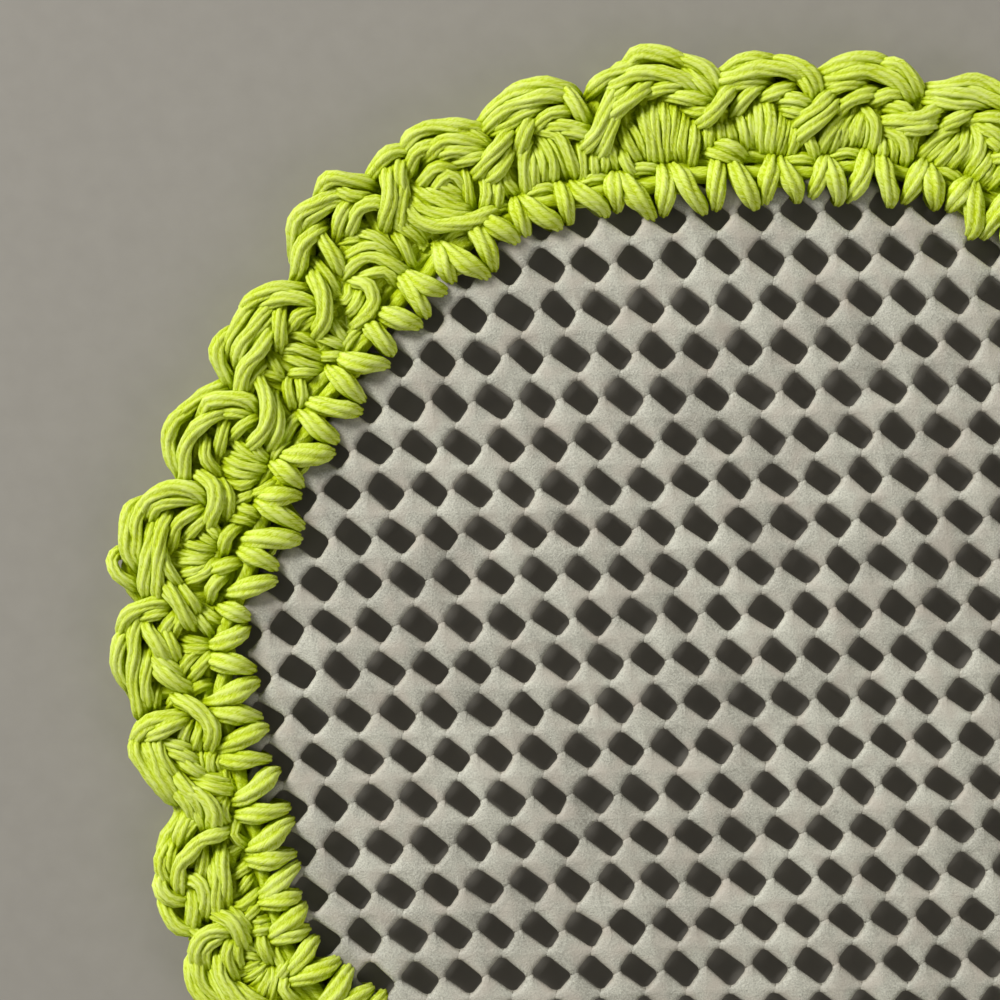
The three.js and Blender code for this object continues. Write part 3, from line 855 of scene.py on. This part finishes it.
def net_cell(lengths, widths):
    """A place on the net, in half cells along its slanted sides"""
    return Vector([(row + column) / 2 * lengths + (row - column) / 2 * widths
                   for row, column in zip(NET_ROW, NET_COLUMN)])


def neck_rows(height):
    """A neck's outline on one face of the net, from one hole's corner to the other's"""
    cut_back = ROUNDING * (1 - math.sqrt(0.5))
    start = Vector((1 - HOLE_LENGTH / 2 + cut_back, HOLE_WIDTH / 2 - cut_back))
    end = Vector((HOLE_LENGTH / 2 - cut_back, 1 - HOLE_WIDTH / 2 + cut_back))
    return [(*start.lerp(end, share), height * level) for share, level in NECK_PROFILE]


def bump_outline():
    """A bump's outline in half cells, with its height at the necks"""

    def quarter(neck):
        """From the side of one hole round a neck to the end of the next hole"""
        side, side_end = 1 - HOLE_LENGTH / 2, HOLE_WIDTH / 2
        end, end_start = 1 - HOLE_WIDTH / 2, HOLE_LENGTH / 2
        near, far = ROUNDING * 0.076, ROUNDING * 0.617
        return [(side, side_end - ROUNDING, 0.0), (side + near, side_end - far, 0.0),
                *neck_rows(neck),
                (end_start - far, end + near, 0.0), (end_start - ROUNDING, end, 0.0)]

    mirrored = [(-u, v, high) for u, v, high in reversed(quarter(COLUMN_NECK))]
    half = quarter(ROW_NECK) + mirrored
    return half + [(-u, -v, high) for u, v, high in half]


def net_corner(mesh, u, v, height):
    flat = net_cell(u, v)
    return mesh.verts.new((flat.x * MM, flat.y * MM, height * MM))


def net_shape(name, mesh):
    data = bpy.data.meshes.new(name)
    mesh.to_mesh(data)
    mesh.free()
    return new_object(name, data)


def net_bump():
    """One bump, with its necks left open where the next bumps meet it"""
    mesh = bmesh.new()

    def ring(scale, level, side, inmost):
        made = []
        for u, v, high in bump_outline():
            height = BUMP_HEIGHT * level
            if high:
                full = BUMP_HEIGHT * inmost[1]
                height = high + (full - high) * (1 - scale) / (1 - inmost[0])
            made.append(net_corner(mesh, u * scale, v * scale, side * height))
        return made

    for side, rings in ((1, TOP_RINGS), (-1, UNDER_RINGS)):
        loops = [ring(scale, level, side, rings[-1]) for scale, level in rings]
        top = net_corner(mesh, 0, 0, side * BUMP_HEIGHT)
        for outer, inner in zip(loops, loops[1:]):
            for index in range(len(outer)):
                after = (index + 1) % len(outer)
                mesh.faces.new((outer[index], outer[after], inner[after], inner[index])[::side])
        for index, corner in enumerate(inner):
            mesh.faces.new((corner, inner[(index + 1) % len(inner)], top)[::side])
    bmesh.ops.remove_doubles(mesh, verts=mesh.verts, dist=WELD / 3)
    return net_shape("net_bump", mesh)


def net_stub(name, side, neck):
    """Closes a neck where the net is cut. side is -1 for a neck from row to row."""
    mesh = bmesh.new()
    rows = neck_rows(neck)
    corners = [net_corner(mesh, u, v * side, high) for u, v, high in rows]
    corners += [net_corner(mesh, u, v * side, -high) for u, v, high in rows[-2:0:-1]]
    end = net_corner(mesh, NECK_END, NECK_END * side, 0)
    for index, corner in enumerate(corners):
        mesh.faces.new((corner, end, corners[(index + 1) % len(corners)])[::side])
    return net_shape(name, mesh)


def net_points():
    """A point for each bump, and one for each of its necks that is cut"""
    origin = Vector(NET_HOLE) - net_cell(1, 0)
    cells = {}
    for i in range(-NET_CELLS, NET_CELLS + 1):
        for j in range(-NET_CELLS, NET_CELLS + 1):
            place = origin + net_cell(i, j)
            reach = place.length - outline_radius(math.atan2(place.y, place.x))
            if (i + j) % 2 == 0 and reach < NET_KEEP:
                cells[i, j] = place

    def neighbours(cell):
        return [(cell[0] + a, cell[1] + b) in cells for a, b in DIAGONALS]

    while loose := [cell for cell in cells if sum(neighbours(cell)) < 2]:
        for cell in loose:
            del cells[cell]

    places, kinds, turns = [], [], []
    for cell, place in cells.items():
        at = (place + Vector(MIDDLE)) * MM
        shapes = [(0, 0.0)]
        for (a, b), held in zip(DIAGONALS, neighbours(cell)):
            if not held:
                shapes.append((1 if a == b else 2, 0.0 if a == 1 else math.pi))
        for kind, turn in shapes:
            places.append((at.x, at.y, 0))
            kinds.append(kind)
            turns.append(turn)
    mesh = bpy.data.meshes.new("net_points")
    mesh.from_pydata(places, [], [])
    mesh.attributes.new("kind", "INT", "POINT").data.foreach_set("value", kinds)
    mesh.attributes.new("turn", "FLOAT", "POINT").data.foreach_set("value", turns)
    return new_object("net_points", mesh)


def net_tree():
    """Puts the bump or the stub of its kind on each point, welds them at the necks
    and makes them uneven"""
    nodes, given = geometry_tree("net", {
        "Bump": "Object", "Stub": "Object", "Cross stub": "Object",
        "Wave height": "Float", "Pucker": "Float", "Foam": "Material"})
    kind = nodes.add("GeometryNodeInputNamedAttribute", {"data_type": "INT"}, {"Name": "kind"})
    turn = nodes.add("GeometryNodeInputNamedAttribute", {"data_type": "FLOAT"}, {"Name": "turn"})
    turned = nodes.add("ShaderNodeCombineXYZ", None, {"Z": turn})
    join = nodes.node("GeometryNodeJoinGeometry")
    for number, name in enumerate(("Bump", "Stub", "Cross stub")):
        shape = nodes.add("GeometryNodeObjectInfo", {"transform_space": "ORIGINAL"},
                          {"Object": given(name)}, out="Geometry")
        chosen = nodes.add("FunctionNodeCompare", {"data_type": "INT", "operation": "EQUAL"},
                           {2: kind, 3: number})
        placed = nodes.add("GeometryNodeInstanceOnPoints", None, {
            "Points": given("Geometry"), "Selection": chosen, "Instance": shape, "Rotation": turned})
        nodes.tree.links.new(placed.socket, join.inputs[0])
    whole = nodes.add("GeometryNodeRealizeInstances", None, {"Geometry": nodes.out(join)})
    shaped = nodes.add("GeometryNodeMergeByDistance", None, {"Geometry": whole, "Distance": WELD})
    place = nodes.add("GeometryNodeInputPosition")
    for scale, detail, amount in ((26.0, 1.0, "Wave height"), (190.0, 0.0, "Pucker")):
        shaped = nodes.add("GeometryNodeSetPosition", None, {
            "Geometry": shaped, "Offset": drift(nodes, place, scale, detail, given(amount))})
    lifted = nodes.add("GeometryNodeTransform", None,
                       {"Geometry": shaped, "Translation": (0, 0, NET_MID_HEIGHT * MM)})
    return end_tree(nodes, lifted, given("Foam"))


# Materials

def new_material(name):
    """A material, its nodes and a place on the object"""
    material = bpy.data.materials.new(name)
    material.use_nodes = True
    nodes = Nodes(material.node_tree)
    return material, nodes, nodes.add("ShaderNodeTexCoord", out="Object")


def painted_shade_factor(nodes, distance, closed, clear):
    """Painted shade from ambient occlusion: 0 deep between strands or in a hole, where the colour is
    painted darkest, 1 where the surface lies open
    """
    seen = nodes.add("ShaderNodeAmbientOcclusion", {"samples": 6}, {"Distance": distance}, out="AO")
    return nodes.add("ShaderNodeMapRange", {"interpolation_type": "SMOOTHSTEP"},
                     {"Value": seen, "From Min": closed, "From Max": clear})


def shade(nodes, sockets):
    shader = nodes.add("ShaderNodeBsdfPrincipled", None, sockets)
    nodes.node("ShaderNodeOutputMaterial", None, {"Surface": shader})


def yarn_material():
    """Lime cotton with fibres that run slantwise along each ply. Shade is painted into its grooves
    and deep between strands, and a painted highlight makes the open crowns of its plies pale."""
    material, nodes, place = new_material("lime_cotton")
    lay = nodes.add("ShaderNodeAttribute", {"attribute_name": "lay"}, out="Vector")
    apart = nodes.node("ShaderNodeSeparateXYZ", None, {0: lay})
    x, y, along = (nodes.out(apart, name) for name in "XYZ")
    turn = x.math("ARCTAN2", y, x) * (PLIES / FULL_TURN)
    across = turn.math("FRACT", turn) * 2 - 1
    rise = 1 - across * across
    ply = turn.math("FLOOR", turn)
    near = nodes.vector("SCALE", place, 500.0)
    strand_at = nodes.add("ShaderNodeCombineXYZ", None, {
        "X": across * 1.25 + along, "Y": ply * 3.7, "Z": along * 0.3})
    fibre = nodes.noise(nodes.vector("ADD", strand_at, near), 2.7, 4.0, 0.8)
    patch = nodes.noise(place, 260.0, 2.0)
    # Painted shade: ambient occlusion darkens the yarn deep between strands
    unshaded_share = painted_shade_factor(nodes, 0.003, 0.2, 0.85)
    # Painted shade and light: grooves between plies darker, plies' crowns lighter; fibre and patch
    # noise vary the yarn's own colour
    shade_and_tone = unshaded_share * 0.7 + rise * 0.26 + (fibre - 0.5) * 2.3 + (patch - 0.5) * 0.6 + 0.02
    # The darker colour is the dye in painted shade, the lighter one the dye in the light
    dye_and_shade = nodes.mixed(shade_and_tone, (0.37, 0.46, 0.001, 1), (0.79, 0.945, 0.025, 1))
    # Painted highlight: the brightest parts of the yarn go pale and frosty
    painted_highlight = nodes.add("ShaderNodeMapRange", None, {"Value": shade_and_tone, "From Min": 0.62, "From Max": 1.25})
    colour = nodes.mixed(painted_highlight, dye_and_shade, (0.9, 1.0, 0.3, 1))
    bump = nodes.add("ShaderNodeBump", None, {
        "Strength": 0.8, "Distance": 0.0003, "Height": fibre * 1.1 + rise * 0.3})
    shade(nodes, {"Base Color": colour, "Roughness": 0.8, "Normal": bump, "Specular IOR Level": 0.0})
    return material


def foam_material():
    """Pebbled foam with pale and brownish patches, and painted shade in its necks, on the sides of its
    holes and beside the yarn
    """
    material, nodes, place = new_material("taupe_foam")
    pebble = nodes.noise(place, 4200.0, 2.0, 0.7)
    patch = nodes.noise(place, 120.0, 3.0)
    stain = nodes.noise(place, 330.0, 1.0)
    # Painted shade: ambient occlusion darkens the foam in its necks, on the sides of its holes and
    # beside the yarn
    unshaded_share = painted_shade_factor(nodes, 0.0025, 0.4, 1.0)
    shade_and_tone = (pebble - 0.5) * 2.0 + (patch - 0.5) * 1.5 + unshaded_share * 0.8 - 0.2
    # The darker colour is the foam in painted shade; the pebble and patch noise vary its own colour
    plain = nodes.mixed(shade_and_tone, (0.26, 0.243, 0.19, 1), (0.615, 0.595, 0.478, 1))
    colour = nodes.mixed((stain - 0.42) * 2.2, plain, (0.5, 0.44, 0.35, 1))
    bump = nodes.add("ShaderNodeBump", None, {"Strength": 0.6, "Distance": 0.0002, "Height": pebble})
    shade(nodes, {"Base Color": colour, "Roughness": 0.55, "Normal": bump, "Specular IOR Level": 0.6})
    return material


def floor_material():
    material, nodes, place = new_material("pale_floor")
    grain = nodes.noise(place, 300.0, 2.0)
    colour = nodes.mixed(grain, (0.272, 0.25, 0.21, 1), (0.308, 0.284, 0.24, 1))
    shade(nodes, {"Base Color": colour, "Roughness": 0.7})
    return material


# Pieces

fine = yarn_section("yarn_section", (0.0, 0.85, 1.0, 0.85), PLY_GROOVES)
middling = yarn_section("fan_section", (0.0, 1.0, 1.0), PLY_GROOVES)
plain = yarn_section("core_section", (0.0, 1.0), CORE_GROOVES)

uprights = Skein("upright_stitches", fine, 1.0)
fans = Skein("scallop_fans", middling, 1.0)
rims = Skein("scallop_rims", fine, 1.0)
joins = Skein("scallop_joins", fine, 1.0)
cores = Skein("scallop_cores", plain, 1.6)
backs = Skein("scallop_backs", plain, 1.4)
rounds = Skein("inner_rounds", plain, 1.8)
posts = Skein("under_posts", plain, 1.5)

tips = stitch_tips()
for (angle, tip), (next_angle, _) in zip(tips, tips[1:] + tips[:1]):
    upright_stitch(uprights, angle, tip, (next_angle - angle) % FULL_TURN)
for number, row in enumerate(scallop_frames()):
    if number < len(SEEN_LAYOUTS):
        scallop(rims, joins, fans, row, SEEN_LAYOUTS[number], SEEN_LEAN)
    else:
        scallop(rims, joins, fans, row, LAYOUTS[CHANCE.randrange(len(LAYOUTS))], HIDDEN_LEAN)
    scallop_core(cores, row)
    lay_posts(backs, row, BACK_POST, 5, 2.6, 0.95)
    lay_posts(posts, row, UNDER_POST, 6, 2.3, 0.9)
for reach, height in INNER_ROUNDS:
    inner_round(rounds, reach, height)

spin = yarn_tree()
yarn = yarn_material()
edging = [skein.piece(spin, yarn)
          for skein in (uprights, fans, rims, joins, cores, backs, rounds, posts)]

bump = net_bump()
stub = net_stub("net_stub", 1, ROW_NECK)
cross_stub = net_stub("net_cross_stub", -1, COLUMN_NECK)
net = grow("foam_net", net_points(), net_tree(), {
    "Bump": bump, "Stub": stub, "Cross stub": cross_stub,
    "Wave height": 0.0011, "Pucker": 0.0009, "Foam": foam_material()})
for helper in (fine, middling, plain, bump, stub, cross_stub):
    bpy.data.objects.remove(helper)

for piece in edging:
    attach(piece, "root")
    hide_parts("crochet_edging")
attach(net, "root")
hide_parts("grip_net")

# Stage

bpy.ops.mesh.primitive_plane_add(size=3)
floor = bpy.context.object
floor.name = "floor"
floor.data.materials.append(floor_material())


def softbox(name, place, size, power, colour):
    light = bpy.data.lights.new(name, "AREA")
    light.shape = "SQUARE"
    light.size = size
    light.energy = power
    light.color = colour
    box = new_object(name, light)
    box.location = place
    box.rotation_euler = (-Vector(place)).to_track_quat("-Z", "Y").to_euler()


softbox("window_light", (-0.862, 0.717, 0.771), 0.42, 20.6, (0.98, 0.99, 1.0))
softbox("fill_light", (0.74, -0.6, 0.8), 0.7, 3.2, (1.0, 0.98, 0.94))

world = bpy.data.worlds.new("studio")
world.use_nodes = True
sky = world.node_tree.nodes["Background"]
sky.inputs["Color"].default_value = (0.9, 0.93, 1, 1)
sky.inputs["Strength"].default_value = 0.21
bpy.context.scene.world = world

# The picture is 1000 pixels wide, at 7.5 to the millimetre on the stitches
PICTURE_WIDTH = 0.13333
PICTURE_MIDDLE = (-0.03476, 0.02619)
STITCH_HEIGHT = 0.005
CAMERA_HEIGHT = 0.45
lens = bpy.data.cameras.new("camera")
lens.sensor_width = 36
lens.lens = 36 * (CAMERA_HEIGHT - STITCH_HEIGHT) / PICTURE_WIDTH
camera = new_object("camera", lens)
camera.location = (*PICTURE_MIDDLE, CAMERA_HEIGHT)
bpy.context.scene.camera = camera
bpy.context.scene.view_settings.view_transform = "Standard"
